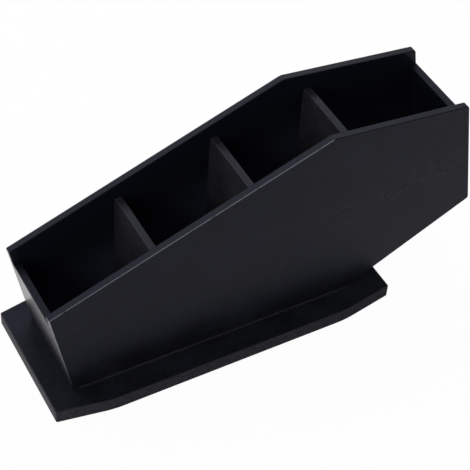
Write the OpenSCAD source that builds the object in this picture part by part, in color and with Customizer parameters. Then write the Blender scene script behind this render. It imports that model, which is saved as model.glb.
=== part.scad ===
// Coffin-shaped brush organizer in black painted board.
// Two coffin-shaped side panels stand on their long lower side on a base board.
// Between them sit a foot board, a head board, a floor in two boards and three dividers,
// which leave four compartments that are open at the top.
// Section points are [x, z], measured from the panels' lower foot corner on top of the base.

/* [Coffin panels] */
// Width of a panel across its foot end
foot_width = 89; // [75:1:105]
// Width of a panel across its shoulders
shoulder_width = 178; // [160:1:200]
// Width of a panel across its head end
head_width = 108; // [90:1:125]
// Length along the coffin from the foot end to the shoulders
foot_length = 243.7; // [225:0.1:265]
// Length along the coffin from the shoulders to the head end
head_length = 119; // [100:1:140]
// Thickness of a side panel
panel_thickness = 6; // [4:0.5:9]
// Rounding of the two shoulder corners
shoulder_radius = 10; // [2:1:25]
// Rounding of the two head corners
head_radius = 3; // [1:0.5:8]
// Rounding of the two foot corners
foot_radius = 1; // [0.5:0.5:4]

/* [Boards between the panels] */
// Clear width between the two side panels
inner_width = 70; // [55:1:90]
// Thickness of the boards between the panels
board_thickness = 6; // [4:0.5:9]
// Depth of the boards' top edges below the panels' edges
board_recess = 14; // [6:0.5:24]
// Distance from the panels' lower foot corner to the first divider
first_divider = 72.1; // [60:0.1:80]
// Clear length between two neighbouring dividers
divider_gap = 75.5; // [66:0.5:78]

/* [Base board] */
// Length of the base board
base_length = 299.5; // [285:0.5:330]
// Width of the base board along its middle
base_width = 128; // [112:1:160]
// Width of the base board at its two ends
base_end_width = 112; // [100:1:126]
// Length over which each end of the base board tapers
base_taper_length = 45.5; // [25:0.5:70]
// Thickness of the base board
base_thickness = 12; // [8:0.5:20]
// Reach of the base board past the panels' lower foot corner
base_foot_reach = 20.8; // [10:0.1:35]
// Rounding of the four blunt bends on the base board's long edges
base_bend_radius = 90; // [10:5:150]
// Rounding of the four corners at the base board's ends
base_corner_radius = 1.5; // [1:0.5:8]

/* [Base screws] */
// Diameter of a screw's shank
screw_diameter = 3.5; // [3:0.1:4]
// Diameter of a screw's countersunk head
screw_head_diameter = 7; // [6:0.1:8]
// Depth of a screw's head below the underside of the base
screw_sink = 0.5; // [0.2:0.1:1]
// Board left above a screw's tip
screw_tip_cover = 1.5; // [1:0.1:2.5]
// Gap all round a screw in its hole
screw_clearance = 0.1; // [0.05:0.05:0.3]
// Distance from each end of the floor board to its screws
screw_end_distance = 36; // [20:1:55]
// Distance from the side panels to the screws
screw_side_distance = 16; // [10:1:24]

/* [Hidden] */
$fn = 48;

panel_colour = "#26262b";
divider_colour = "#1c1c20";
base_colour = "#1f1f24";
screw_colour = "#8c8f94";

// Largest turn between two neighbouring points of a rounded corner, in degrees
arc_step = 4;
// Length by which a cutting solid passes the face that it opens
cut_past = 1;
// Width and depth of the cross recess in a screw's head, as shares of the head's diameter
recess_width_share = 0.14;
recess_depth_share = 0.2;
recess_span_share = 0.62;
// Length of a screw's point, in shank diameters
screw_point_share = 0.8;

// The coffin leans so that the lower side from foot to shoulder lies flat on the base
lean = atan((shoulder_width - foot_width) / 2 / foot_length);
coffin_length = foot_length + head_length;
along = [cos(lean), sin(lean)];
across = [-sin(lean), cos(lean)];

// Point at a distance from the foot end and at an offset from the coffin's centre line
function coffin_point(distance, offset) =
    along * distance + across * (foot_width / 2 + offset);

foot_top = coffin_point(0, foot_width / 2);
shoulder_top = coffin_point(foot_length, shoulder_width / 2);
head_top = coffin_point(coffin_length, head_width / 2);
head_bottom = coffin_point(coffin_length, -head_width / 2);
shoulder_bottom = coffin_point(foot_length, -shoulder_width / 2);
foot_bottom = coffin_point(0, -foot_width / 2);

// Angle between the head part's edges and the centre line, and the lower one's slope
head_taper = atan((shoulder_width - head_width) / 2 / head_length);
floor_slope = lean + head_taper;

function unit(v) = v / norm(v);

// Points of the arc that rounds one corner of an outline
function rounded_corner(before, corner, after, radius) =
    let (
        to_before = unit(before - corner),
        to_after = unit(after - corner),
        half_angle = acos(to_before * to_after) / 2,
        centre = corner + unit(to_before + to_after) * radius / sin(half_angle),
        reach = radius / tan(half_angle),
        first = corner + to_before * reach - centre,
        last = corner + to_after * reach - centre,
        start = atan2(first[1], first[0]),
        turn = (atan2(last[1], last[0]) - start + 540) % 360 - 180,
        steps = max(1, ceil(abs(turn) / arc_step))
    )
    [for (i = [0 : steps])
        centre + radius * [cos(start + turn * i / steps), sin(start + turn * i / steps)]];

// Outline through corners, each rounded by its own radius
function rounded_outline(corners, radii) =
    let (count = len(corners))
    [for (i = [0 : count - 1])
        each rounded_corner(
            corners[(i + count - 1) % count],
            corners[i],
            corners[(i + 1) % count],
            radii[i]
        )];

coffin_outline = rounded_outline(
    [foot_bottom, shoulder_bottom, head_bottom, head_top, shoulder_top, foot_top],
    [foot_radius, shoulder_radius, head_radius, head_radius, shoulder_radius, foot_radius]
);

base_left = -base_foot_reach;
base_right = base_left + base_length;
base_outline = rounded_outline(
    [
        [base_left, -base_end_width / 2],
        [base_left + base_taper_length, -base_width / 2],
        [base_right - base_taper_length, -base_width / 2],
        [base_right, -base_end_width / 2],
        [base_right, base_end_width / 2],
        [base_right - base_taper_length, base_width / 2],
        [base_left + base_taper_length, base_width / 2],
        [base_left, base_end_width / 2]
    ],
    [
        base_corner_radius,
        base_bend_radius,
        base_bend_radius,
        base_corner_radius,
        base_corner_radius,
        base_bend_radius,
        base_bend_radius,
        base_corner_radius
    ]
);

// The part's origin lies under the middle of its whole length, on the surface it stands on
leftmost = min([for (p = concat(coffin_outline, base_outline)) p[0]]);
rightmost = max([for (p = concat(coffin_outline, base_outline)) p[0]]);
middle = (leftmost + rightmost) / 2;

// Where the boards meet each other
foot_inner_bottom = [board_thickness / cos(lean), 0];
foot_inner_at_floor = foot_inner_bottom + [-board_thickness * tan(lean), board_thickness];
floor_mitre_top = shoulder_bottom + board_thickness * [-tan(floor_slope / 2), 1];
slope_end_share = (head_length - board_thickness) / head_length;
slope_end_bottom = shoulder_bottom + (head_bottom - shoulder_bottom) * slope_end_share;
slope_end_top = slope_end_bottom + across * board_thickness / cos(head_taper);

divider_pitch = divider_gap + board_thickness;
panel_edge = [foot_top, shoulder_top, head_top];

screw_angle_depth = (screw_head_diameter - screw_diameter) / 2;
screw_length = base_thickness - screw_sink + board_thickness - screw_tip_cover;
screw_xs = [
    foot_inner_bottom[0] + screw_end_distance,
    shoulder_bottom[0] - screw_end_distance
];
screw_ys = [
    -inner_width / 2 + screw_side_distance,
    inner_width / 2 - screw_side_distance
];

// Moves what is measured from the foot corner into the part's own frame
module in_part_frame() {
    translate([-middle, 0, base_thickness])
        children();
}

// Board whose section [x, z] runs towards the front from the depth y_back
module board_slab(y_back, thickness) {
    translate([0, y_back, 0])
        rotate([90, 0, 0])
            linear_extrude(thickness)
                children();
}

// Board that fills the width between the panels and ends flush with their rounded outline
module cross_board(section) {
    in_part_frame()
        board_slab(inner_width / 2, inner_width)
            intersection() {
                polygon(section);
                polygon(coffin_outline);
            }
}

module side_panel(y_back) {
    in_part_frame()
        board_slab(y_back, panel_thickness)
            polygon(coffin_outline);
}

module front_side_panel() {
    color(panel_colour)
        side_panel(-inner_width / 2);
}

module back_side_panel() {
    color(panel_colour)
        side_panel(inner_width / 2 + panel_thickness);
}

// Leaning board at the low end, cut level where it stands on the base
module foot_board() {
    top = foot_width / 2 - board_recess;
    color(panel_colour)
        cross_board([
            foot_bottom,
            foot_inner_bottom,
            coffin_point(board_thickness, top),
            coffin_point(0, top)
        ]);
}

// Leaning board at the high end, cut flush with the sloping underside
module head_board() {
    top = head_width / 2 - board_recess;
    color(panel_colour)
        cross_board([
            slope_end_bottom,
            head_bottom,
            coffin_point(coffin_length, top),
            coffin_point(coffin_length - board_thickness, top)
        ]);
}

// Level floor on the base, with the screws' holes in its underside
module floor_board() {
    color(divider_colour)
        difference() {
            cross_board([
                foot_inner_bottom,
                shoulder_bottom,
                floor_mitre_top,
                foot_inner_at_floor
            ]);
            screw_holes();
        }
}

// Floor of the highest compartment, mitred to the level floor
module sloping_floor_board() {
    color(divider_colour)
        cross_board([
            shoulder_bottom,
            slope_end_bottom,
            slope_end_top,
            floor_mitre_top
        ]);
}

// Upright board that follows the panels' upper edge at the named depth below it
module divider(index) {
    left = first_divider + index * divider_pitch;
    top = lookup(left + board_thickness / 2, panel_edge) - board_recess;
    color(divider_colour)
        cross_board([
            [left, board_thickness],
            [left + board_thickness, board_thickness],
            [left + board_thickness, top],
            [left, top]
        ]);
}

module lower_divider() {
    divider(0);
}

module middle_divider() {
    divider(1);
}

module upper_divider() {
    divider(2);
}

// Board under the panels, tapered at both ends, with countersunk holes from below
module base_board() {
    color(base_colour)
        difference() {
            translate([-middle, 0, 0])
                linear_extrude(base_thickness)
                    polygon(base_outline);
            screw_holes();
        }
}

module at_screws() {
    for (x = screw_xs, y = screw_ys)
        translate([x - middle, y, 0])
            children();
}

// Hole for one screw: the head's opening, its cone and the shank's bore
module screw_hole() {
    bore = screw_diameter / 2 + screw_clearance;
    head = screw_head_diameter / 2 + screw_clearance;
    rotate_extrude()
        polygon([
            [0, -cut_past],
            [head, -cut_past],
            [head, screw_sink],
            [bore, screw_sink + head - bore],
            [bore, screw_sink + screw_length + screw_clearance],
            [0, screw_sink + screw_length + screw_clearance]
        ]);
}

module screw_holes() {
    at_screws()
        screw_hole();
}

// Cross-shaped recess that a screwdriver turns
module driver_recess() {
    span = screw_head_diameter * recess_span_share;
    width = screw_head_diameter * recess_width_share;
    depth = screw_head_diameter * recess_depth_share;
    for (turn = [0, 90])
        rotate([0, 0, turn])
            translate([-span / 2, -width / 2, -cut_past])
                cube([span, width, depth + cut_past]);
}

// Countersunk wood screw, head down, with its head's face at z = 0
module wood_screw() {
    point = screw_diameter * screw_point_share;
    difference() {
        rotate_extrude()
            polygon([
                [0, 0],
                [screw_head_diameter / 2, 0],
                [screw_diameter / 2, screw_angle_depth],
                [screw_diameter / 2, screw_length - point],
                [0, screw_length]
            ]);
        driver_recess();
    }
}

module base_screws() {
    color(screw_colour)
        at_screws()
            translate([0, 0, screw_sink])
                wood_screw();
}

base_board();
front_side_panel();
back_side_panel();
foot_board();
head_board();
floor_board();
sloping_floor_board();
lower_divider();
middle_divider();
upper_divider();
base_screws();
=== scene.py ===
"""Coffin-shaped brush organizer in matte black painted boards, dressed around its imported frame."""

import math

import bmesh
import bpy
from bpy.props import FloatProperty, FloatVectorProperty, IntProperty, PointerProperty
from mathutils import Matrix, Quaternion, Vector
from mathutils.geometry import intersect_point_line


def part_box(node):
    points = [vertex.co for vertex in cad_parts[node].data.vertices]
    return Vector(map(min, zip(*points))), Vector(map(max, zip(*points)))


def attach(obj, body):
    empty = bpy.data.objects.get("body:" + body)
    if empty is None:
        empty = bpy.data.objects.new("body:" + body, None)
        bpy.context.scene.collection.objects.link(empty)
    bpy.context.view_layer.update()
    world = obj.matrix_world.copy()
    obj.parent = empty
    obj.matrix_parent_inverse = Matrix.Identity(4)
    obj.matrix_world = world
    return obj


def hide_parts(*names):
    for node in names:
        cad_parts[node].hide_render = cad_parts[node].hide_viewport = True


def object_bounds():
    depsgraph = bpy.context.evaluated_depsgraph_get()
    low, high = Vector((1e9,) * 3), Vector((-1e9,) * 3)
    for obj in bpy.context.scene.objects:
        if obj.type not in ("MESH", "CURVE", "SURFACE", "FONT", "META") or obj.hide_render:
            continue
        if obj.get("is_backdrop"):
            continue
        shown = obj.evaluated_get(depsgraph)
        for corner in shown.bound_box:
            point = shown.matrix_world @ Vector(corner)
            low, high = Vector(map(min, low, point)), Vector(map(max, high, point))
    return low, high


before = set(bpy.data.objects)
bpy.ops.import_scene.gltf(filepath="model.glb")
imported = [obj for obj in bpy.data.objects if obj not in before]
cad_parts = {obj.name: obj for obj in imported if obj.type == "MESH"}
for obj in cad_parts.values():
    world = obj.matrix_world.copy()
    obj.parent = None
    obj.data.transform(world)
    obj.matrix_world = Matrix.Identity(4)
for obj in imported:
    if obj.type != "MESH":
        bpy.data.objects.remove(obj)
CAD_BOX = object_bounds()

bl_info = {
    "name": "Painted Brush Organizer",
    "version": (1, 0, 0),
    "blender": (4, 5, 0),
    "location": "3D View > Sidebar > Organizer",
    "description": "Rounds, paints and lights the boards of a coffin-shaped brush organizer",
    "category": "Object",
}

MM = 0.001
BODY = "root"

# The boards' nodes, grouped by the paint that they take
SIDE_PANELS = ("front_side_panel", "back_side_panel")
END_BOARDS = ("foot_board", "head_board")
FLOOR_BOARDS = ("floor_board", "sloping_floor_board")
DIVIDERS = ("lower_divider", "middle_divider", "upper_divider")


def length_property(name, description, default, low=0.0, high=1.0):
    """A length in metres, shown in the scene's unit."""
    return FloatProperty(
        name=name, description=description, default=default, min=low, max=high, unit="LENGTH"
    )


def angle_property(name, description, degrees):
    """An angle, given in degrees."""
    return FloatProperty(
        name=name, description=description, default=math.radians(degrees), subtype="ANGLE"
    )


def number_property(name, description, default, low, high):
    """A number without a unit."""
    return FloatProperty(name=name, description=description, default=default, min=low, max=high)


def count_property(name, description, default, low, high):
    """A whole number."""
    return IntProperty(name=name, description=description, default=default, min=low, max=high)


def share_property(name, description, default):
    """A number from 0 to 1."""
    return FloatProperty(
        name=name, description=description, default=default, min=0, max=1, subtype="FACTOR"
    )


def colour_property(name, description, default):
    """A colour, as linear red, green and blue."""
    return FloatVectorProperty(
        name=name, description=description, default=default, min=0, max=1, size=3, subtype="COLOR"
    )


def place_property(name, description, default):
    """A place in the frame, in metres."""
    return FloatVectorProperty(
        name=name, description=description, default=default, size=3, subtype="TRANSLATION"
    )


class BoardEdges(bpy.types.PropertyGroup):
    """How the sanded edges of the boards are rounded, and how far the painted highlight along them
    reaches.
    """

    arris_radius: length_property(
        "Arris radius", "Rounding of a board's sanded edges", 0.45 * MM, 0.1 * MM, 1.5 * MM
    )
    base_rim_radius: length_property(
        "Base rim radius", "Rounding of the base board's upper edges", 0.85 * MM, 0.1 * MM, 3 * MM
    )
    arris_steps: count_property("Arris steps", "Faces across a rounded edge", 4, 1, 8)
    # Width of the band that the arris colour and the painted highlight fill along an edge
    arris_and_highlight_width: length_property(
        "Rub width", "How far the rub reaches from an arris onto the face", 0.2 * MM, 0.1 * MM, 2 * MM
    )


class PaintWearAndLight(bpy.types.PropertyGroup):
    """How the wood and the handling show in the paint, with the painted highlight on the panels' edges and
    the painted light deep inside the coffin.
    """

    thin_gain: number_property(
        "Thin gain", "How many times lighter the paint is where it lies thin over the grain", 1.9, 1, 4
    )
    # Painted highlight: a light colour on the panels' long top and foot arrises stands in for a lamp's
    # glint, in patches like rubbed paint
    edge_highlight_colour: colour_property(
        "Rubbed paint", "Colour of the paint along the handled edges", (0.3, 0.307, 0.355)
    )
    pore_length: length_property(
        "Pore length", "Length of the wood's pores along the grain", 7 * MM, 1 * MM, 30 * MM
    )
    pore_width: length_property(
        "Pore width", "Width of the wood's pores across the grain", 1.2 * MM, 0.1 * MM, 3 * MM
    )
    open_grain: colour_property(
        "Open grain", "Colour of the paint that soaked into the open pores", (0.022, 0.0225, 0.0265)
    )
    figure_width: length_property(
        "Figure width", "Half the width of a side panel's open-pored band", 17 * MM, 5 * MM, 60 * MM
    )
    inside_colour: colour_property(
        "Inside colour", "Colour of the paint on the coffin's inner faces", (0.006, 0.0071, 0.0116)
    )
    # Painted light: a far lighter colour on the deep parts of the inner faces, making up for the shade
    # there
    painted_depth_light: colour_property(
        "Deep colour", "Colour of the thinner paint on their lower parts", (0.052, 0.057, 0.084)
    )
    inside_roughness: share_property("Inside roughness", "Roughness of the paint on the inner faces", 0.25)
    lacquer_roughness: share_property("Lacquer roughness", "Roughness of the foot end's clear coat", 0.32)
    gloss_tint: colour_property("Gloss tint", "Tint of reflections seen straight on", (0.6, 0.65, 1.0))


class PanelPaint(bpy.types.PropertyGroup):
    """Paint of the two side panels."""

    colour: colour_property("Colour", "Colour of the paint", (0.0057, 0.0061, 0.0085))
    edge_colour: colour_property(
        "Edge colour", "Colour of the thicker paint on the arrises", (0.006, 0.0062, 0.0082)
    )
    edge_roughness: share_property("Edge roughness", "Roughness of the arrises", 0.85)
    gloss: share_property("Gloss", "Specular level of the paint", 0.088)
    roughness: share_property("Roughness", "Roughness of the paint", 0.42)
    lacquer: share_property("Lacquer", "Weight of the clear coat on the foot end", 0.9)


class EndBoardPaint(bpy.types.PropertyGroup):
    """Paint of the foot board and the head board."""

    colour: colour_property("Colour", "Colour of the paint", (0.0045, 0.0049, 0.0068))
    edge_colour: colour_property(
        "Edge colour", "Colour of the thicker paint on the arrises", (0.006, 0.0062, 0.0082)
    )
    edge_roughness: share_property("Edge roughness", "Roughness of the arrises", 0.7)
    gloss: share_property("Gloss", "Specular level of the paint", 0.06)
    roughness: share_property("Roughness", "Roughness of the paint", 0.42)
    lacquer: share_property("Lacquer", "Weight of the clear coat on the foot end", 0.9)


class InnerPaint(bpy.types.PropertyGroup):
    """Paint of the dividers and the floor boards, thinner than outside."""

    colour: colour_property("Colour", "Colour of the paint", (0.0148, 0.0152, 0.0188))
    edge_colour: colour_property("Edge colour", "Colour of the rubbed arrises", (0.031, 0.0315, 0.036))
    edge_roughness: share_property("Edge roughness", "Roughness of the arrises", 0.45)
    gloss: share_property("Gloss", "Specular level of the paint", 0.034)
    roughness: share_property("Roughness", "Roughness of the paint", 0.3)


class BasePaint(bpy.types.PropertyGroup):
    """Paint of the base board."""

    colour: colour_property("Colour", "Colour of the paint", (0.0075, 0.0081, 0.0112))
    side_colour: colour_property(
        "Side colour", "Colour of the drier paint on the board's sides", (0.041, 0.0417, 0.049)
    )
    edge_colour: colour_property("Edge colour", "Colour of the arrises", (0.024, 0.0245, 0.029))
    edge_roughness: share_property("Edge roughness", "Roughness of the arrises", 0.55)
    gloss: share_property("Gloss", "Specular level of the paint", 0.05)
    roughness: share_property("Roughness", "Roughness of the paint", 0.4)
    side_roughness: share_property("Side roughness", "Roughness of the paint on the sides", 0.92)
    lacquer: share_property("Lacquer", "Weight of the clear coat on the foot end", 0.2)


class CoffinLie(bpy.types.PropertyGroup):
    """How the coffin lies on its base, which sets the way the side panels' grain runs."""

    lean: angle_property("Lean", "Angle of the coffin's centre line above the base", 10.35)
    foot_half_width: length_property(
        "Foot half width", "Half the panels' width across the foot end", 44.5 * MM
    )
    foot_length: length_property(
        "Foot length", "Distance from the foot end to the shoulders along the centre line", 243.7 * MM
    )
    head_half_width: length_property(
        "Head half width", "Half the panels' width across the head end", 54 * MM
    )
    length: length_property("Length", "Length of the coffin along its centre line", 362.7 * MM)
    figure_start: length_property(
        "Figure start", "Distance from the foot end at which the open-pored band starts", 215 * MM
    )


class PaintBeads(bpy.types.PropertyGroup):
    """Thin beads of paint in the corners along the panels."""

    width: length_property("Bead width", "Width of the bead on the base", 1.7 * MM, 0.2 * MM, 4 * MM)
    height: length_property("Bead height", "Height of the bead up the panel", 0.45 * MM, 0.1 * MM, 4 * MM)
    corner_size: length_property(
        "Corner size", "Width of the beads between dividers and panels", 0.7 * MM, 0.1 * MM, 2 * MM
    )
    taper: length_property("Taper", "Length over which a bead thins out", 12 * MM, 1 * MM, 50 * MM)
    steps: count_property("Bead steps", "Faces round the bead", 6, 2, 16)


class ScrewShape(bpy.types.PropertyGroup):
    """Countersunk wood screw under the base."""

    head_radius: length_property("Head radius", "Radius of the countersunk head", 3.5 * MM)
    shank_radius: length_property("Thread radius", "Outer radius of the thread", 1.75 * MM)
    thread_pitch: length_property(
        "Thread pitch", "Distance between two turns of the thread", 1.5 * MM, 0.5 * MM
    )
    thread_depth: length_property("Thread depth", "Depth of the thread", 0.45 * MM)
    steel: colour_property("Steel", "Colour of the zinc-plated steel", (0.62, 0.62, 0.6))


class Studio(bpy.types.PropertyGroup):
    """Camera, floor and lamps."""

    camera_place: place_property("Camera place", "Where the camera stands", (-0.4281, -0.6975, 0.9075))
    camera_aim: place_property(
        "Camera aim", "Point that the camera looks at", (-0.01181, -0.00588, 0.08)
    )
    camera_roll: angle_property("Camera roll", "Turn of the camera about its own axis", 3.867)
    lens: number_property(
        "Lens", "Focal length on a sensor 36 mm wide, in millimetres", 112.28, 20, 300
    )
    floor_colour: colour_property("Floor colour", "Colour of the floor", (0.9, 0.9, 0.9))
    floor_whiteness: share_property(
        "Floor whiteness", "Share of plain white in what the camera and reflections see of the floor", 0.97
    )
    ambient: number_property("Ambient", "Strength of the even light from all around", 0.37, 0, 10)


class Signal:
    """A number that a node puts out. Sums and products of signals add their Math nodes."""

    def __init__(self, desk, socket):
        self.desk = desk
        self.socket = socket

    def __abs__(self):
        return self.desk.math("ABSOLUTE", self)

    def __add__(self, other):
        return self.desk.math("ADD", self, other)

    __radd__ = __add__

    def __sub__(self, other):
        return self.desk.math("SUBTRACT", self, other)

    def __rsub__(self, other):
        return self.desk.math("SUBTRACT", other, self)

    def __mul__(self, other):
        return self.desk.math("MULTIPLY", self, other)

    __rmul__ = __mul__


class NodeMaker:
    """Adds nodes to a tree."""

    def __init__(self, tree):
        self.tree = tree

    def add(self, kind, settings=None, sockets=None):
        """Adds a node, sets what it is first, and then fills or links its input sockets."""
        node = self.tree.nodes.new(kind)
        for name, value in (settings or {}).items():
            setattr(node, name, value)
        for key, value in (sockets or {}).items():
            if isinstance(value, Signal):
                value = value.socket
            if isinstance(value, bpy.types.NodeSocket):
                self.tree.links.new(value, node.inputs[key])
            else:
                node.inputs[key].default_value = value
        return node

    def signal(self, kind, settings=None, sockets=None, output=0):
        return Signal(self, self.add(kind, settings, sockets).outputs[output])

    def math(self, operation, *values):
        """What a Math node makes of one or two values."""
        return self.signal("ShaderNodeMath", {"operation": operation}, dict(enumerate(values)))


class NodeDesk(NodeMaker):
    """Adds nodes to one material's or one world's tree, which starts empty."""

    def __init__(self, tree):
        super().__init__(tree)
        tree.nodes.clear()

    def noise(self, place, size, detail=2.0, roughness=0.5):
        """Noise around one half, with features of about this size."""
        sockets = {"Vector": place, "Scale": 1 / size, "Detail": detail, "Roughness": roughness}
        return self.signal("ShaderNodeTexNoise", None, sockets)

    def long_noise(self, place, length, width, detail=2.0, roughness=0.5):
        """Noise whose features run along X."""
        sizes = (1 / length, 1 / width, 1 / width)
        node = self.add("ShaderNodeVectorMath", {"operation": "MULTIPLY"}, {0: place, 1: sizes})
        return self.noise(node.outputs[0], 1, detail, roughness)

    def ramp(self, value, start, end):
        """Smooth step from 0 at the start to 1 at the end."""
        settings = {"interpolation_type": "SMOOTHSTEP"}
        sockets = {"Value": value, "From Min": start, "From Max": end}
        return self.signal("ShaderNodeMapRange", settings, sockets)

    def larger(self, first, second):
        return self.math("MAXIMUM", first, second)

    def mix_colour(self, share, *colours):
        """Colour that goes from the first colour to the second with the share. Either may be a socket."""
        settings = {"data_type": "RGBA", "clamp_factor": True}
        first, second = (
            colour if isinstance(colour, bpy.types.NodeSocket) else opaque(colour) for colour in colours
        )
        sockets = {"Factor": share, "A": first, "B": second}
        return self.add("ShaderNodeMix", settings, sockets).outputs["Result"]

    def axes(self, place):
        """X, Y and Z of a place."""
        parts = self.add("ShaderNodeSeparateXYZ", None, {0: place}).outputs
        return [Signal(self, part) for part in parts]

    def bump(self, height, strength, depth):
        """Normals of a surface whose relief follows the height."""
        sockets = {"Strength": strength, "Distance": depth, "Height": height}
        return self.add("ShaderNodeBump", None, sockets).outputs[0]

    def unseen_by_lamps(self):
        """1 for what the camera, reflections and clear things see, 0 for light on the object."""
        rays = self.add("ShaderNodeLightPath").outputs
        shown = self.larger(rays["Is Camera Ray"], rays["Is Glossy Ray"])
        return self.larger(shown, rays["Is Transmission Ray"])

    def finish(self, sockets):
        """Ends a material in one shader with the given sockets."""
        shader = self.add("ShaderNodeBsdfPrincipled", None, sockets)
        self.add("ShaderNodeOutputMaterial", None, {"Surface": shader.outputs[0]})

    def finish_mixed(self, output, share, first, second):
        """Ends a tree in two shaders, mixed by the share."""
        sockets = {0: share, 1: first.outputs[0], 2: second.outputs[0]}
        mixed = self.add("ShaderNodeMixShader", None, sockets)
        self.add(output, None, {"Surface": mixed.outputs[0]})


def opaque(colour):
    return (*colour, 1.0)


def scaled(colour, share):
    return tuple(part * share for part in colour)


def new_object(name, data):
    item = bpy.data.objects.new(name, data)
    bpy.context.scene.collection.objects.link(item)
    return item


def new_piece(name, mesh, material):
    mesh.materials.clear()
    mesh.materials.append(material)
    return new_object(name, mesh)


def finished_mesh(name, shape):
    """Keeps a bmesh as a mesh, and frees it."""
    mesh = bpy.data.meshes.new(name)
    shape.to_mesh(mesh)
    shape.free()
    return mesh


def result_mesh(item):
    """What the object's modifiers make, as a plain mesh."""
    return bpy.data.meshes.new_from_object(item.evaluated_get(bpy.context.evaluated_depsgraph_get()))


def new_material(name):
    material = bpy.data.materials.new(name)
    material.use_nodes = True
    return material, NodeDesk(material.node_tree)


# Paint

# Shift between two boards' patterns, so that no two boards match
PATTERN_SHIFT = (0.73, 0.31, -0.57)
# Patches of paint that dried a little lighter or darker, and the blotches within them
MOTTLE_SIZE = 26 * MM
BLOTCH_SIZE = 6 * MM
# Long fine lines of the wood under the paint
LINE_LENGTH = 45 * MM
LINE_WIDTH = 1.1 * MM
# Grain of the dried paint itself
PAINT_GRAIN = 0.45 * MM
# Noise between which a pore goes from closed to open
PORE_RANGE = (0.54, 0.68)
# Patches in which the pores show, the noise between which a patch starts, and how open it is at most
PATCH_LENGTH = 60 * MM
PATCH_WIDTH = 9 * MM
PATCH_RANGE = (0.52, 0.72)
PATCH_OPENNESS = 0.35
# Gaps in the painted highlight along the panels' edges, which leave it in patches like rubbed paint, and
# the noise between which they end
HIGHLIGHT_SPOT_SIZE = 6 * MM
HIGHLIGHT_SPOT_RANGE = (0.1, 0.5)
# Shares of mottle, blotches and lines in where the paint lies thin, and how far it gets there
THIN_SHARES = (0.5, 0.3, 0.2)
THIN_RANGE = (0.38, 0.64)
THIN_MOST = 0.7
# Change of the roughness by the mottle and by the pores
MOTTLE_ROUGHNESS = 0.16
PORE_ROUGHNESS = 0.08
# Height of each pattern, as a share of the relief's depth
LINE_RELIEF = 0.1
PORE_RELIEF = 0.45
GRAIN_RELIEF = 0.15
MOTTLE_RELIEF = 0.3
BLOTCH_RELIEF = 0.4
RELIEF_DEPTH = 0.12 * MM
# Depths below the panels' top edge between which the inside colour turns to the painted light that makes
# up for the shade deep in the coffin
DEPTH_LIGHT_RANGE = (15 * MM, 105 * MM)
# Distances from an inner face, from an end face and from the base's top over which their paint ends
INNER_FACE_FADE = (0.1 * MM, 0.5 * MM)
END_FACE_FADE = (0.2 * MM, 0.6 * MM)
TOP_FACE_FADE = (0.1 * MM, 0.6 * MM)
# Height above the base over which the coffin's own lacquer starts
LACQUER_RISE = 1 * MM
# Spots on the base's sides where the paint soaked in, and the noise between which they end
DRY_PATCH_SIZE = 3.5 * MM
DRY_RANGE = (0.3, 0.7)
# Their lightness, as a share of the dry paint's between them
SOAKED_SHARE = 0.62


def board_thickness():
    """Thickness of the boards that the coffin is made of."""
    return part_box("floor_board")[1].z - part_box("base_board")[1].z


def coffin_place(desk, place):
    """Distance from the coffin's foot end, and height above its centre line."""
    lie = bpy.context.scene.coffin_lie
    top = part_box("base_board")[1].z
    foot_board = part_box("foot_board")[1]
    corner = Vector((foot_board.x - board_thickness() / math.cos(lie.lean), 0, top))
    turned = desk.add(
        "ShaderNodeVectorRotate",
        {"rotation_type": "Y_AXIS"},
        {"Vector": place, "Center": corner, "Angle": lie.lean},
    )
    along, _, up = desk.axes(turned.outputs[0])
    return along - corner.x, up - (corner.z + lie.foot_half_width)


def figure_mask(desk, place):
    """1 in the open-pored band along a side panel's centre line, towards its head end."""
    lie = bpy.context.scene.coffin_lie
    width = bpy.context.scene.paint_wear.figure_width
    distance, height = coffin_place(desk, place)
    across = 1 - desk.ramp(abs(height), 0.5 * width, width)
    return across * desk.ramp(distance, lie.figure_start, lie.figure_start + lie.foot_half_width)


def foot_end_mask(desk, place):
    """1 on the coffin's foot end and on the base's end under it, which are lacquered."""
    distance = coffin_place(desk, place)[0]
    along, _, up = desk.axes(place)
    base_low, base_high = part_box("base_board")
    above_base = desk.ramp(up - base_high.z, 0.0, LACQUER_RISE)
    coffin_end = above_base * (1 - desk.ramp(distance, *END_FACE_FADE))
    base_end = 1 - desk.ramp(along - base_low.x, *END_FACE_FADE)
    return desk.larger(coffin_end, base_end)


def inside_mask(desk, place):
    """1 on the inner faces of the side panels and of the two end boards."""
    near, far = INNER_FACE_FADE
    inner_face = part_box("back_side_panel")[0].y
    foot_face = board_thickness()
    head_face = bpy.context.scene.coffin_lie.length - foot_face
    across = desk.axes(place)[1]
    distance = coffin_place(desk, place)[0]
    between_panels = 1 - desk.ramp(abs(across), inner_face + near, inner_face + far)
    past_foot = desk.ramp(distance, foot_face - far, foot_face - near)
    past_head = desk.ramp(distance, head_face + near, head_face + far)
    return between_panels * past_foot * (1 - past_head)


def depth_inside(desk, place):
    """How far a place lies below the side panels' top edge."""
    lie = bpy.context.scene.coffin_lie
    distance, height = coffin_place(desk, place)
    widening = math.tan(lie.lean)
    shoulder_half_width = lie.foot_half_width + lie.foot_length * widening
    narrowing = (shoulder_half_width - lie.head_half_width) / (lie.length - lie.foot_length)
    foot_part = distance * widening + lie.foot_half_width
    head_part = shoulder_half_width - (distance - lie.foot_length) * narrowing
    return desk.math("MINIMUM", foot_part, head_part) - height


def base_side_mask(desk, place):
    """1 on the sides of the base board, 0 on its top."""
    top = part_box("base_board")[1].z
    near, far = TOP_FACE_FADE
    return 1 - desk.ramp(desk.axes(place)[2], top - far, top - near)


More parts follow.
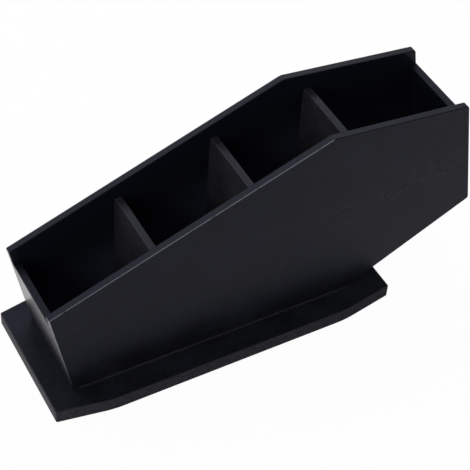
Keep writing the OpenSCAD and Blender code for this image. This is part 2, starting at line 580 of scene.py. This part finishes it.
def board_paint(node, coat, seed, turn):
    """Matte black paint on wood whose grain runs along X once the board is turned."""
    wear_and_light = bpy.context.scene.paint_wear
    material, desk = new_material(node + "_paint")
    place = desk.add("ShaderNodeTexCoord").outputs["Object"]
    laid = desk.add("ShaderNodeMapping", None, {"Vector": place, "Rotation": turn}).outputs[0]
    shift = tuple(seed * part for part in PATTERN_SHIFT)
    moved = desk.add("ShaderNodeVectorMath", {"operation": "ADD"}, {0: laid, 1: shift}).outputs[0]

    mottle = desk.noise(moved, MOTTLE_SIZE, 3)
    lines = desk.long_noise(moved, LINE_LENGTH, LINE_WIDTH, 3, 0.6)
    pores = desk.ramp(desk.long_noise(moved, wear_and_light.pore_length, wear_and_light.pore_width), *PORE_RANGE)
    patches = desk.long_noise(moved, PATCH_LENGTH, PATCH_WIDTH)
    open_wood = desk.ramp(patches, *PATCH_RANGE) * PATCH_OPENNESS
    if node in SIDE_PANELS:
        open_wood = desk.larger(open_wood, figure_mask(desk, place))
    pores = pores * open_wood
    speckle = desk.noise(moved, PAINT_GRAIN)

    arris = desk.signal("ShaderNodeAttribute", {"attribute_name": "arris"}, output="Fac")
    # Painted highlight: the light edge colour on the panels' long top and foot edges, in patches
    painted_highlight = desk.signal("ShaderNodeAttribute", {"attribute_name": "painted_highlight"}, output="Fac")
    patchy_highlight = painted_highlight * desk.ramp(desk.noise(moved, HIGHLIGHT_SPOT_SIZE, 3), *HIGHLIGHT_SPOT_RANGE)

    blotches = desk.noise(moved, BLOTCH_SIZE)
    by_mottle, by_blotches, by_lines = THIN_SHARES
    thinness = mottle * by_mottle + blotches * by_blotches + lines * by_lines
    thin_paint = scaled(coat.colour, wear_and_light.thin_gain)
    colour = desk.mix_colour(desk.ramp(thinness, *THIN_RANGE) * THIN_MOST, coat.colour, thin_paint)
    colour = desk.mix_colour(pores, colour, wear_and_light.open_grain)
    colour = desk.mix_colour(arris, colour, coat.edge_colour)
    colour = desk.mix_colour(patchy_highlight, colour, wear_and_light.edge_highlight_colour)
    rough = coat.roughness + (mottle - 0.5) * MOTTLE_ROUGHNESS + pores * PORE_ROUGHNESS
    rough = rough + arris * (coat.edge_roughness - rough)
    if node in SIDE_PANELS + END_BOARDS:
        inside = inside_mask(desk, place)
        # Painted light: deeper inside, the colour turns far lighter to make up for the shade there
        depth_light_share = desk.ramp(depth_inside(desk, place), *DEPTH_LIGHT_RANGE)
        inside_paint_and_light = desk.mix_colour(depth_light_share * depth_light_share, wear_and_light.inside_colour, wear_and_light.painted_depth_light)
        colour = desk.mix_colour(inside, colour, inside_paint_and_light)
        rough = rough + inside * (wear_and_light.inside_roughness - rough)
    if hasattr(coat, "side_colour"):
        sides = base_side_mask(desk, place)
        dry = desk.ramp(desk.noise(place, DRY_PATCH_SIZE, 4, 0.6), *DRY_RANGE)
        soaked = scaled(coat.side_colour, SOAKED_SHARE)
        side_colour = desk.mix_colour(dry, soaked, coat.side_colour)
        colour = desk.mix_colour(sides, colour, side_colour)
        rough = rough + sides * (coat.side_roughness - rough)
    wood_relief = lines * LINE_RELIEF - pores * PORE_RELIEF
    relief = wood_relief + speckle * GRAIN_RELIEF + mottle * MOTTLE_RELIEF + blotches * BLOTCH_RELIEF
    sockets = {
        "Base Color": colour,
        "Roughness": rough,
        "Specular IOR Level": coat.gloss,
        "Specular Tint": opaque(wear_and_light.gloss_tint),
        "Normal": desk.bump(relief, 1.0, RELIEF_DEPTH),
    }
    if hasattr(coat, "lacquer"):
        sockets["Coat Weight"] = foot_end_mask(desk, place) * coat.lacquer
        sockets["Coat Roughness"] = wear_and_light.lacquer_roughness
    desk.finish(sockets)
    return material


# Boards

MERGE_DISTANCE = 0.001 * MM
FLAT_ANGLE = math.radians(0.5)
SHARP_ANGLE = math.radians(25)
# Strength of the painted highlight on a side panel's long top edge and on its foot edge, at the lower and
# at the upper end
TOP_HIGHLIGHT = (0.52, 0.72)
FOOT_HIGHLIGHT = (0.0, 1.0)
# An outline's straight sides are longer than this, the pieces of its round corners shorter
SHORTEST_SIDE = 20 * MM
# How much weaker the painted highlight is at an arris's inner side than at its outer side
INNER_HIGHLIGHT_LOSS = 0.7
# How far a highlighted arris reaches from the sharp edge that it rounds, in radii
ARRIS_REACH = 1.1
# How far its painted highlight runs on past the sharp edge's ends, as a share of its length
RUN_PAST = 0.01
# Highest weight, so that the wide flat faces keep their own normals
FLAT_FACE_WEIGHT = 100
# Regions smaller than this are the walls of screw holes, and get no inset band
SMALLEST_FACE = 150 * MM * MM


def merged_copy(node):
    """The node's own shape as one closed mesh of flat faces."""
    shape = bmesh.new()
    shape.from_mesh(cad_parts[node].data)
    bmesh.ops.remove_doubles(shape, verts=shape.verts, dist=MERGE_DISTANCE)
    bmesh.ops.dissolve_limit(shape, angle_limit=FLAT_ANGLE, verts=shape.verts, edges=shape.edges)
    return shape


def sharp_edges(shape):
    """The outward edges that sanding rounds."""
    return [
        edge
        for edge in shape.edges
        if len(edge.link_faces) == 2 and edge.is_convex and edge.calc_face_angle() > SHARP_ANGLE
    ]


def round_edges(shape, sharp, radius, steps):
    """Rounds the edges and marks their new faces in the layer named rounded."""
    made = bmesh.ops.bevel(
        shape,
        geom=sharp,
        offset=radius,
        offset_type="OFFSET",
        segments=steps,
        profile=0.5,
        affect="EDGES",
        clamp_overlap=False,
    )
    rounded = shape.faces.layers.int["rounded"]
    for face in made["faces"]:
        face[rounded] = 1


def connected_regions(faces):
    """Groups of faces that touch along an edge, found in the order of the faces."""
    left = set(faces)
    for start in faces:
        if start not in left:
            continue
        left.remove(start)
        region = [start]
        for face in region:
            for edge in face.edges:
                for other in edge.link_faces:
                    if other in left:
                        left.remove(other)
                        region.append(other)
        yield region


def highlighted_edges(shape):
    """Ends of the long top edge and the foot edge of a side panel's outer face, with the strength of their
    painted highlight.
    """
    reach = max(abs(vertex.co.y) for vertex in shape.verts)
    sides = [
        edge
        for edge in shape.edges
        if all(abs(abs(vertex.co.y) - reach) < MERGE_DISTANCE for vertex in edge.verts)
        and edge.calc_length() > SHORTEST_SIDE
    ]
    middle = sum((vertex.co.z for vertex in shape.verts), 0.0) / len(shape.verts)
    upper = [side for side in sides if min(vertex.co.z for vertex in side.verts) > middle / 2]
    top = max(upper, key=lambda side: side.calc_length())
    foot = min(sides, key=lambda side: sum(vertex.co.x for vertex in side.verts))
    highlighted = []
    for side, highlight_strengths in ((top, TOP_HIGHLIGHT), (foot, FOOT_HIGHLIGHT)):
        ends = sorted(side.verts, key=lambda end: end.co.z)
        highlighted.append([(end.co.copy(), wear_and_light) for end, wear_and_light in zip(ends, highlight_strengths)])
    return highlighted


def mark_edges(shape, flat_faces, width, reach, highlighted):
    """Sets arris on the rounded edges and the painted highlight on the long top and foot edges. Both fall
    to 0 over the width.
    """
    arris = shape.verts.layers.float.new("arris")
    painted_highlight = shape.verts.layers.float.new("painted_highlight")
    for vertex in shape.verts:
        vertex[arris] = 1.0
        for (low, low_highlight), (high, high_highlight) in highlighted:
            nearest, share = intersect_point_line(vertex.co, low, high)
            if -RUN_PAST < share < 1 + RUN_PAST and (nearest - vertex.co).length < reach:
                wear_and_light = low_highlight + share * (high_highlight - low_highlight)
                inward = abs(low.y) - abs(vertex.co.y)
                vertex[painted_highlight] = wear_and_light * (1 - INNER_HIGHLIGHT_LOSS * inward / reach)
    wide = []
    for region in connected_regions(flat_faces):
        if sum(face.calc_area() for face in region) > SMALLEST_FACE:
            wide.extend(region)
    bmesh.ops.inset_region(shape, faces=wide, thickness=width, use_boundary=True, use_even_offset=True)
    for face in wide:
        for vertex in face.verts:
            vertex[arris] = 0.0
            vertex[painted_highlight] = 0.0


def sort_faces(shape):
    """Sorts the faces by their corners, because an inset makes them in another order each run."""
    shape.verts.index_update()
    ordered = sorted(shape.faces, key=lambda face: sorted(vertex.index for vertex in face.verts))
    places = {face: place for place, face in enumerate(ordered)}
    shape.faces.sort(key=places.get)


def board_piece(node, material):
    """A painted board in the place of its node."""
    edges = bpy.context.scene.board_edges
    shape = merged_copy(node)
    highlighted = highlighted_edges(shape) if node in SIDE_PANELS else []
    rounded = shape.faces.layers.int.new("rounded")
    if node == "base_board":
        low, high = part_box(node)
        rim = [edge for edge in sharp_edges(shape) if edge.verts[0].co.z > (low.z + high.z) / 2]
        round_edges(shape, rim, edges.base_rim_radius, edges.arris_steps)
    radius = edges.arris_radius
    round_edges(shape, sharp_edges(shape), radius, edges.arris_steps)
    flat_faces = [face for face in shape.faces if face[rounded] == 0]
    mark_edges(shape, flat_faces, edges.arris_and_highlight_width, ARRIS_REACH * radius, highlighted)
    shape.faces.layers.int.remove(rounded)
    sort_faces(shape)
    mesh = finished_mesh(node + "_painted", shape)
    mesh.shade_smooth()
    piece = new_piece(node + "_painted", mesh, material)
    weights = piece.modifiers.new("flat faces", "WEIGHTED_NORMAL")
    weights.weight = FLAT_FACE_WEIGHT
    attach(piece, BODY)
    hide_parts(node)


def make_boards(nodes, coat, first_seed, turn=0.0):
    """Makes the boards of one kind, each with a pattern of its own. The turn lays their grain along X."""
    for seed, node in enumerate(nodes, first_seed):
        board_piece(node, board_paint(node, coat, seed, (0, turn, 0)))


# Each kind's first pattern
PANEL_SEED = 1
END_BOARD_SEED = 5
FLOOR_BOARD_SEED = 8
DIVIDER_SEED = 11
BASE_SEED = 15


class ORGANIZER_OT_side_panels(bpy.types.Operator):
    """Makes the two coffin-shaped side panels"""

    bl_idname = "organizer.side_panels"
    bl_label = "Side panels"

    def execute(self, context):
        scene = context.scene
        make_boards(SIDE_PANELS, scene.panel_paint, PANEL_SEED, scene.coffin_lie.lean)
        return {"FINISHED"}


class ORGANIZER_OT_end_boards(bpy.types.Operator):
    """Makes the leaning foot board and head board"""

    bl_idname = "organizer.end_boards"
    bl_label = "End boards"

    def execute(self, context):
        upright = math.pi / 2 + context.scene.coffin_lie.lean
        make_boards(END_BOARDS, context.scene.end_board_paint, END_BOARD_SEED, upright)
        return {"FINISHED"}


class ORGANIZER_OT_floor_boards(bpy.types.Operator):
    """Makes the level and the sloping floor board"""

    bl_idname = "organizer.floor_boards"
    bl_label = "Floor boards"

    def execute(self, context):
        make_boards(FLOOR_BOARDS, context.scene.inner_paint, FLOOR_BOARD_SEED)
        return {"FINISHED"}


class ORGANIZER_OT_dividers(bpy.types.Operator):
    """Makes the three upright dividers"""

    bl_idname = "organizer.dividers"
    bl_label = "Dividers"

    def execute(self, context):
        make_boards(DIVIDERS, context.scene.inner_paint, DIVIDER_SEED, math.pi / 2)
        return {"FINISHED"}


class ORGANIZER_OT_base_board(bpy.types.Operator):
    """Makes the thick base board with its tapered ends"""

    bl_idname = "organizer.base_board"
    bl_label = "Base board"

    def execute(self, context):
        make_boards(("base_board",), context.scene.base_paint, BASE_SEED)
        return {"FINISHED"}


# Shapes that Geometry Nodes make


class ShapeTree(NodeMaker):
    """Builds one Geometry Nodes tree with named inputs."""

    def __init__(self, name, inputs):
        super().__init__(bpy.data.node_groups.new(name, "GeometryNodeTree"))
        self.tree.is_modifier = True
        self.sockets = {}
        for label, kind in inputs.items():
            item = self.tree.interface.new_socket(label, in_out="INPUT", socket_type="NodeSocket" + kind)
            self.sockets[label] = item.identifier
        self.tree.interface.new_socket("Geometry", in_out="OUTPUT", socket_type="NodeSocketGeometry")
        self.given = self.tree.nodes.new("NodeGroupInput").outputs

    def end(self, geometry):
        """Ends the tree in Realize Instances and Set Material."""
        real = self.add("GeometryNodeRealizeInstances", None, {0: geometry})
        sockets = {"Geometry": real.outputs[0], "Material": self.given["Material"]}
        painted = self.add("GeometryNodeSetMaterial", None, sockets)
        self.add("NodeGroupOutput", None, {0: painted.outputs[0]})

    def make(self, name, start, values):
        """Runs the tree on a start object and returns the result as a plain mesh."""
        carrier = new_object(name + "_tree", start)
        modifier = carrier.modifiers.new(name, "NODES")
        modifier.node_group = self.tree
        for label, value in values.items():
            modifier[self.sockets[label]] = value
        mesh = result_mesh(carrier)
        carrier.modifiers.clear()
        bpy.data.objects.remove(carrier)
        mesh.name = name
        return mesh


# How far a bead's colour goes at most towards the lighter colour, a painted highlight along the joint
BEAD_HIGHLIGHT_SHARE = 0.8
# Where the bead's quarter circle starts, so that it fills the corner once it is swept
BEAD_START = -math.pi / 2
# Size of a bead's ends, as a share of its full size
BEAD_END_SHARE = 0.15
# Where the panels rise off the base, the bead runs on for this far
BEAD_RUN_ON = 3 * MM
# Unevenness of the beads' paint, its change of the roughness, and its relief
BEAD_PATCH_SIZE = 5 * MM
BEAD_ROUGHNESS = 0.2
BEAD_RELIEF = 0.3
BEAD_RELIEF_DEPTH = 0.1 * MM


def bead_tree():
    """Rounded beads that follow a path in a corner and thin out at their ends."""
    inputs = {"Path": "Geometry", "Size": "Vector", "Taper": "Float", "Steps": "Int"}
    shape = ShapeTree("bead along path", {**inputs, "Material": "Material"})
    level = shape.add("GeometryNodeSetCurveNormal", {"mode": "Z_UP"}, {"Curve": shape.given["Path"]})
    sockets = {
        "Resolution": shape.given["Steps"],
        "Start Angle": BEAD_START,
        "Sweep Angle": math.pi / 2,
        "Connect Center": True,
    }
    quarter = shape.add("GeometryNodeCurveArc", {"mode": "RADIUS"}, sockets)
    sockets = {"Geometry": quarter.outputs[0], "Scale": shape.given["Size"]}
    section = shape.add("GeometryNodeTransform", None, sockets)
    passed = shape.signal("GeometryNodeSplineParameter", output="Length")
    whole = shape.signal("GeometryNodeSplineLength", output="Length")
    to_end = shape.math("MINIMUM", passed, whole - passed)
    sockets = {
        "Value": to_end,
        "From Max": shape.given["Taper"],
        "To Min": BEAD_END_SHARE,
    }
    share = shape.signal("ShaderNodeMapRange", None, sockets)
    sockets = {
        "Curve": level.outputs[0],
        "Profile Curve": section.outputs[0],
        "Scale": share,
        "Fill Caps": True,
    }
    bead = shape.add("GeometryNodeCurveToMesh", None, sockets)
    shape.end(bead.outputs[0])
    return shape


def new_path(name):
    path = bpy.data.curves.new(name, "CURVE")
    path.dimensions = "3D"
    return path


def add_line(path, points, turn=0.0):
    """Adds a spline of straight pieces to a path, turned about itself."""
    line = path.splines.new("POLY")
    line.points.add(len(points) - 1)
    for point, place in zip(line.points, points):
        point.co = (*place, 1)
        point.tilt = turn


def base_joint_path(taper):
    """Paths on top of the base, along the outer faces of the two side panels."""
    path = new_path("base_joint_path")
    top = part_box("base_board")[1].z
    for node in SIDE_PANELS:
        low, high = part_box(node)
        resting = [
            vertex.co.x
            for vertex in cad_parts[node].data.vertices
            if vertex.co.z < top + MERGE_DISTANCE
        ]
        start = min(resting)
        end = max(resting) + BEAD_RUN_ON
        stops = [start, start + taper, end - taper, end]
        side = low.y
        if node == SIDE_PANELS[1]:
            side = high.y
            stops.reverse()
        add_line(path, [(x, side, top) for x in stops])
    return path


def divider_joint_path(taper):
    """Upright paths in the four corners between each divider and the side panels."""
    path = new_path("divider_joint_path")
    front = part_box(SIDE_PANELS[0])[1].y
    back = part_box(SIDE_PANELS[1])[0].y
    for node in DIVIDERS:
        low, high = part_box(node)
        stops = [low.z, low.z + taper, high.z - taper, high.z]
        corners = ((high.x, back), (high.x, front), (low.x, front), (low.x, back))
        for quarter, (x, y) in enumerate(corners):
            add_line(path, [(x, y, z) for z in stops], quarter * math.pi / 2)
    return path


class ORGANIZER_OT_paint_beads(bpy.types.Operator):
    """Makes the thin beads of paint along the panels, on the base and at the dividers"""

    bl_idname = "organizer.paint_beads"
    bl_label = "Paint beads"

    def execute(self, context):
        beads = context.scene.paint_beads
        base_paint = context.scene.base_paint
        inner_paint = context.scene.inner_paint
        base_size = (beads.width, beads.height, 1.0)
        corner_size = (beads.corner_size, beads.corner_size, 1.0)
        # The lighter colours that the beads take are a painted highlight along the joints
        base_bead = bead_paint("base_joint_bead_paint", base_paint, base_paint.side_colour)
        divider_bead = bead_paint("divider_joint_beads_paint", inner_paint, inner_paint.edge_colour)
        kinds = (
            ("base_joint_bead", base_joint_path, base_size, "base_paint", base_bead),
            ("divider_joint_beads", divider_joint_path, corner_size, "inner_paint", divider_bead),
        )
        tree = bead_tree()
        for name, path, size, slot, paint in kinds:
            values = {"Size": size, "Taper": beads.taper, "Steps": beads.steps, "Material": paint}
            mesh = tree.make(name, path(beads.taper), values)
            mesh.shade_smooth()
            piece = new_piece(name, mesh, paint)
            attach(piece, BODY)
        return {"FINISHED"}


def bead_paint(name, coat, bead_highlight_colour):
    """Paint that gathered in a corner, with an uneven sheen and patches of a lighter colour that are a
    painted highlight along the joint.
    """
    material, desk = new_material(name)
    place = desk.add("ShaderNodeTexCoord").outputs["Object"]
    uneven = desk.noise(place, BEAD_PATCH_SIZE, 3)
    colour = desk.mix_colour(uneven * BEAD_HIGHLIGHT_SHARE, coat.colour, bead_highlight_colour)
    desk.finish(
        {
            "Base Color": colour,
            "Roughness": coat.roughness + uneven * BEAD_ROUGHNESS,
            "Specular IOR Level": coat.gloss,
            "Specular Tint": opaque(bpy.context.scene.paint_wear.gloss_tint),
            "Normal": desk.bump(uneven, BEAD_RELIEF, BEAD_RELIEF_DEPTH),
        }
    )
    return material


# Screws

SCREW_SIDES = 32
RINGS_PER_TURN = 10
# Height of the straight rim round the head
HEAD_RIM = 0.12 * MM
# Length of the point in thread radii, and its blunt end as a share of the full radius
POINT_LENGTH = 4
POINT_END = 0.02
# How steep the thread is: at 4, its ridge takes up half a turn
RIDGE_STEEPNESS = 4
# Cross recess, in head diameters, and how much narrower it is at the bottom
RECESS_WIDTH_SHARE = 0.14
RECESS_SPAN_SHARE = 0.62
RECESS_DEPTH_SHARE = 0.2
RECESS_TAPER = 0.55
# Edges sharper than this stay sharp
SCREW_SHARP_ANGLE = math.radians(35)
# Cloudy zinc and its fine scratches
CLOUD_SIZE = 1.5 * MM
DULL_SHARE = 0.6
STEEL_ROUGHNESS = 0.28
CLOUD_ROUGHNESS = 0.2
SCRATCH_LENGTH = 6 * MM
SCRATCH_WIDTH = 0.15 * MM
SCRATCH_RELIEF = 0.2
SCRATCH_DEPTH = 0.03 * MM


def screw_measures(shape):
    """Radius under the thread, height of the head's cone and height at which the thread starts.

    The cone narrows by as much as it rises.
    """
    smooth_radius = shape.shank_radius - shape.thread_depth
    cone = shape.head_radius - smooth_radius
    return smooth_radius, cone, cone + shape.thread_pitch


def screw_mesh(shape, length):
    """One countersunk wood screw, head down at z = 0, with a real helical thread."""
    screw = bmesh.new()
    _, cone, thread_start = screw_measures(shape)
    middle = screw.verts.new((0, 0, 0))
    rings = []
    heights = [0.0, HEAD_RIM, cone]
    turns = (length - thread_start) / shape.thread_pitch
    count = int(turns * RINGS_PER_TURN)
    heights += [thread_start + (length - thread_start) * i / count for i in range(count)]
    for height in heights:
        ring = []
        for side in range(SCREW_SIDES):
            angle = 2 * math.pi * side / SCREW_SIDES
            radius = screw_radius(shape, length, height, angle)
            ring.append(screw.verts.new((radius * math.cos(angle), radius * math.sin(angle), height)))
        rings.append(ring)
    tip = screw.verts.new((0, 0, length))
    around = [(i, (i + 1) % SCREW_SIDES) for i in range(SCREW_SIDES)]
    for i, j in around:
        screw.faces.new((middle, rings[0][j], rings[0][i]))
    for low, high in zip(rings, rings[1:]):
        for i, j in around:
            screw.faces.new((low[i], low[j], high[j], high[i]))
    for i, j in around:
        screw.faces.new((rings[-1][i], rings[-1][j], tip))
    return finished_mesh("one_screw", screw)


def screw_radius(shape, length, height, angle):
    """Radius of the screw at a height and an angle."""
    smooth_radius, cone, thread_start = screw_measures(shape)
    if height <= cone:
        return shape.head_radius - max(0.0, height - HEAD_RIM)
    taper = min(1.0, (length - height) / (POINT_LENGTH * shape.shank_radius))
    wave = (height - thread_start) / shape.thread_pitch - angle / (2 * math.pi)
    crest = max(0.0, 1 - abs((wave % 1.0) - 0.5) * RIDGE_STEEPNESS)
    begin = min(1.0, max(0.0, (height - thread_start) / shape.thread_pitch))
    return (smooth_radius + shape.thread_depth * crest * begin) * max(taper, POINT_END)


def cut_recess(screw, shape):
    """Cuts the cross recess into a screw's head."""
    span = 2 * shape.head_radius * RECESS_SPAN_SHARE
    width = 2 * shape.head_radius * RECESS_WIDTH_SHARE
    depth = 2 * shape.head_radius * RECESS_DEPTH_SHARE
    cutter_shape = bmesh.new()
    for turn in (0, 1):
        size = (span, width) if turn == 0 else (width, span)
        made = bmesh.ops.create_cube(cutter_shape, size=1)
        for vertex in made["verts"]:
            narrow = RECESS_TAPER if vertex.co.z > 0 else 1.0
            vertex.co.x *= size[0] * narrow
            vertex.co.y *= size[1] * (narrow if turn == 0 else 1.0)
            vertex.co.z = depth if vertex.co.z > 0 else -depth
    body = new_object("screw_body", screw)
    cutter = new_object("recess_cutter", finished_mesh("recess_cutter", cutter_shape))
    cut = body.modifiers.new("recess", "BOOLEAN")
    cut.operation = "DIFFERENCE"
    cut.solver = "EXACT"
    cut.use_self = True
    cut.object = cutter
    result = result_mesh(body)
    for item in (body, cutter):
        bpy.data.objects.remove(item)
    return result


def screws_tree():
    """Screws at the corners of a rectangle."""
    inputs = {"Start": "Geometry", "Screw": "Object", "Spacing X": "Float", "Spacing Y": "Float"}
    shape = ShapeTree("screws at corners", {**inputs, "Centre": "Vector", "Material": "Material"})
    sockets = {
        "Size X": shape.given["Spacing X"],
        "Size Y": shape.given["Spacing Y"],
        "Vertices X": 2,
        "Vertices Y": 2,
    }
    corners = shape.add("GeometryNodeMeshGrid", None, sockets)
    sockets = {"Geometry": corners.outputs[0], "Offset": shape.given["Centre"]}
    placed = shape.add("GeometryNodeSetPosition", None, sockets)
    one = shape.add("GeometryNodeObjectInfo", None, {"Object": shape.given["Screw"]})
    sockets = {"Points": placed.outputs[0], "Instance": one.outputs["Geometry"]}
    screws = shape.add("GeometryNodeInstanceOnPoints", None, sockets)
    shape.end(screws.outputs[0])
    return shape


def screw_steel():
    """Zinc-plated steel, a little dull and finely scratched."""
    steel = bpy.context.scene.screw_shape.steel
    material, desk = new_material("screw_steel")
    place = desk.add("ShaderNodeTexCoord").outputs["Object"]
    cloud = desk.noise(place, CLOUD_SIZE, 4)
    scratch = desk.long_noise(place, SCRATCH_LENGTH, SCRATCH_WIDTH)
    desk.finish(
        {
            "Base Color": desk.mix_colour(cloud, scaled(steel, DULL_SHARE), steel),
            "Metallic": 1.0,
            "Roughness": STEEL_ROUGHNESS + cloud * CLOUD_ROUGHNESS,
            "Normal": desk.bump(scratch, SCRATCH_RELIEF, SCRATCH_DEPTH),
        }
    )
    return material


class ORGANIZER_OT_base_screws(bpy.types.Operator):
    """Makes the countersunk screws in the underside of the base"""

    bl_idname = "organizer.base_screws"
    bl_label = "Base screws"

    def execute(self, context):
        shape = context.scene.screw_shape
        low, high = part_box("base_screws")
        one = new_object("one_screw", cut_recess(screw_mesh(shape, high.z - low.z), shape))
        steel = screw_steel()
        centre = (low + high) / 2
        values = {
            "Screw": one,
            "Spacing X": high.x - low.x - 2 * shape.head_radius,
            "Spacing Y": high.y - low.y - 2 * shape.head_radius,
            "Centre": (centre.x, centre.y, low.z),
            "Material": steel,
        }
        mesh = screws_tree().make("base_screws_steel", bpy.data.meshes.new("screws_start"), values)
        bpy.data.objects.remove(one)
        mesh.set_sharp_from_angle(angle=SCREW_SHARP_ANGLE)
        piece = new_piece("base_screws_steel", mesh, steel)
        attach(piece, BODY)
        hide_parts("base_screws")
        return {"FINISHED"}


# Stage

FLOOR_SIZE = 12.0
FLOOR_GAP = 0.2 * MM
WHITE = (1, 1, 1, 1)
# Width of the camera's sensor in millimetres
SENSOR_WIDTH = 36

# Soft lamps: name, place, point aimed at, width, depth and power in watts
LAMPS = (
    ("back_softbox", (0.0, 1.05, 1.35), (0.0, 0.0, 0.1), 2.4, 0.8, 20.0),
    ("left_softbox", (-1.5, -0.75, 0.95), (0.0, 0.0, 0.08), 0.9, 0.9, 10.5),
)


def set_up(name, data, place, target, roll=0.0):
    """A lamp or a camera that looks along -Z from its place to the target."""
    item = new_object(name, data)
    item.location = place
    item.rotation_mode = "QUATERNION"
    turn = (Vector(target) - Vector(place)).to_track_quat("-Z", "Y")
    item.rotation_quaternion = turn @ Quaternion((0, 0, 1), roll)
    return item


def add_floor(studio):
    floor_shape = bmesh.new()
    bmesh.ops.create_grid(floor_shape, x_segments=1, y_segments=1, size=FLOOR_SIZE / 2)
    for vertex in floor_shape.verts:
        vertex.co.z = -FLOOR_GAP
    mesh = finished_mesh("studio_floor", floor_shape)
    material, desk = new_material("studio_floor")
    lit = desk.add("ShaderNodeBsdfDiffuse", None, {"Color": opaque(studio.floor_colour)})
    white = desk.add("ShaderNodeEmission", None, {"Color": WHITE, "Strength": 1.0})
    share = desk.unseen_by_lamps() * studio.floor_whiteness
    desk.finish_mixed("ShaderNodeOutputMaterial", share, lit, white)
    floor = new_piece("studio_floor", mesh, material)
    floor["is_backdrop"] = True


def add_lamps():
    for name, place, target, width, depth, power in LAMPS:
        lamp = bpy.data.lights.new(name, "AREA")
        lamp.shape = "RECTANGLE"
        lamp.size = width
        lamp.size_y = depth
        lamp.energy = power
        set_up(name, lamp, place, target)


def set_world(studio):
    world = bpy.data.worlds.new("studio")
    bpy.context.scene.world = world
    world.use_nodes = True
    desk = NodeDesk(world.node_tree)
    around = desk.add("ShaderNodeBackground", None, {"Color": WHITE, "Strength": studio.ambient})
    white = desk.add("ShaderNodeBackground", None, {"Color": WHITE, "Strength": 1.0})
    desk.finish_mixed("ShaderNodeOutputWorld", desk.unseen_by_lamps(), around, white)


def add_camera(studio):
    lens = bpy.data.cameras.new("camera")
    lens.sensor_width = SENSOR_WIDTH
    lens.lens = studio.lens
    bpy.context.scene.camera = set_up(
        "camera", lens, studio.camera_place, studio.camera_aim, studio.camera_roll
    )


class ORGANIZER_OT_studio(bpy.types.Operator):
    """Adds the floor, the lamps, the world and the camera"""

    bl_idname = "organizer.studio"
    bl_label = "Studio"

    def execute(self, context):
        studio = context.scene.studio
        add_floor(studio)
        add_lamps()
        set_world(studio)
        add_camera(studio)
        context.scene.view_settings.view_transform = "Standard"
        return {"FINISHED"}


OPERATORS = (
    ORGANIZER_OT_side_panels,
    ORGANIZER_OT_end_boards,
    ORGANIZER_OT_floor_boards,
    ORGANIZER_OT_dividers,
    ORGANIZER_OT_base_board,
    ORGANIZER_OT_paint_beads,
    ORGANIZER_OT_base_screws,
    ORGANIZER_OT_studio,
)

PROPERTIES = {
    "board_edges": BoardEdges,
    "paint_wear": PaintWearAndLight,
    "panel_paint": PanelPaint,
    "end_board_paint": EndBoardPaint,
    "inner_paint": InnerPaint,
    "base_paint": BasePaint,
    "coffin_lie": CoffinLie,
    "paint_beads": PaintBeads,
    "screw_shape": ScrewShape,
    "studio": Studio,
}


class ORGANIZER_PT_sidebar(bpy.types.Panel):
    """Lists the organizer's pieces and their sizes and colours"""

    bl_idname = "ORGANIZER_PT_sidebar"
    bl_label = "Brush organizer"
    bl_space_type = "VIEW_3D"
    bl_region_type = "UI"
    bl_category = "Organizer"

    def draw(self, context):
        for name, group in PROPERTIES.items():
            box = self.layout.box()
            box.label(text=name.replace("_", " ").capitalize())
            for field in group.__annotations__:
                box.prop(getattr(context.scene, name), field)
        for operator in OPERATORS:
            self.layout.operator(operator.bl_idname)


CLASSES = (*PROPERTIES.values(), *OPERATORS, ORGANIZER_PT_sidebar)


def register():
    for kind in CLASSES:
        bpy.utils.register_class(kind)
    for name, group in PROPERTIES.items():
        setattr(bpy.types.Scene, name, PointerProperty(type=group))


def unregister():
    for name in PROPERTIES:
        delattr(bpy.types.Scene, name)
    for kind in reversed(CLASSES):
        bpy.utils.unregister_class(kind)


def write_sizes():
    """Gathers the boxes of the solids and of the dressed part as plain lists, and does nothing more with
    them.
    """
    boxes = {"cad": CAD_BOX, "visual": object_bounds()}
    plain = {name: [list(low), list(high)] for name, (low, high) in boxes.items()}


def main():
    register()
    bpy.ops.organizer.side_panels()
    bpy.ops.organizer.end_boards()
    bpy.ops.organizer.floor_boards()
    bpy.ops.organizer.dividers()
    bpy.ops.organizer.base_board()
    bpy.ops.organizer.paint_beads()
    bpy.ops.organizer.base_screws()
    bpy.ops.organizer.studio()
    write_sizes()


if __name__ == "__main__":
    main()
